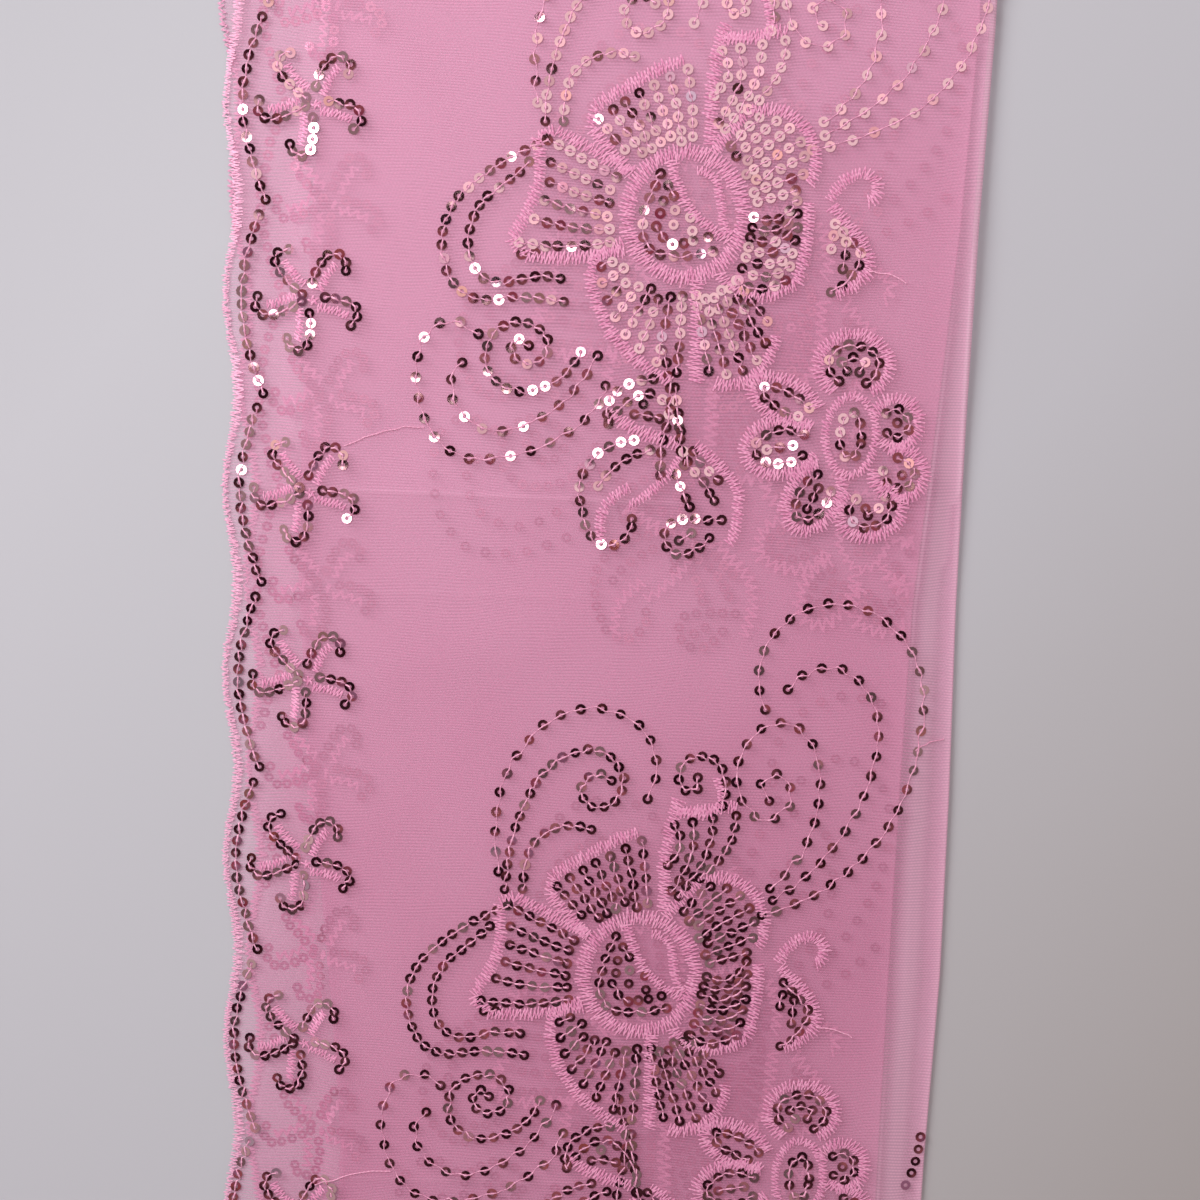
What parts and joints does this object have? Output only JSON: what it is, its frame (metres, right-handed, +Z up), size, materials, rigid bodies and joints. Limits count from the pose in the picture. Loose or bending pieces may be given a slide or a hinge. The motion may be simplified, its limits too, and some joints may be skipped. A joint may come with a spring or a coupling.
{
  "type": "folded shawl",
  "caption": "Sheer embroidered shawl with sequinned flowers, scrolls and scalloped edges, folded lengthwise like a book and laid flat.",
  "frame": {"origin": "on the surface that the shawl lies on, under the middle of the folded strip", "axes": "+Y along the shawl, +X across it from the scalloped edges to the outer fold, +Z up"},
  "size_m": [0.214, 1.802, 0.0049],
  "materials": {
    "tulle": "sheer matte net",
    "edging": "satin embroidery thread",
    "thread": "satin embroidery thread",
    "sequins": "metallised mirror"
  },
  "bodies": {
    "root": {"front_layer": "tulle", "second_layer": "tulle", "hidden_layers": "tulle", "front_edging": "edging", "second_edging": "edging"}
  },
  "joints": []
}
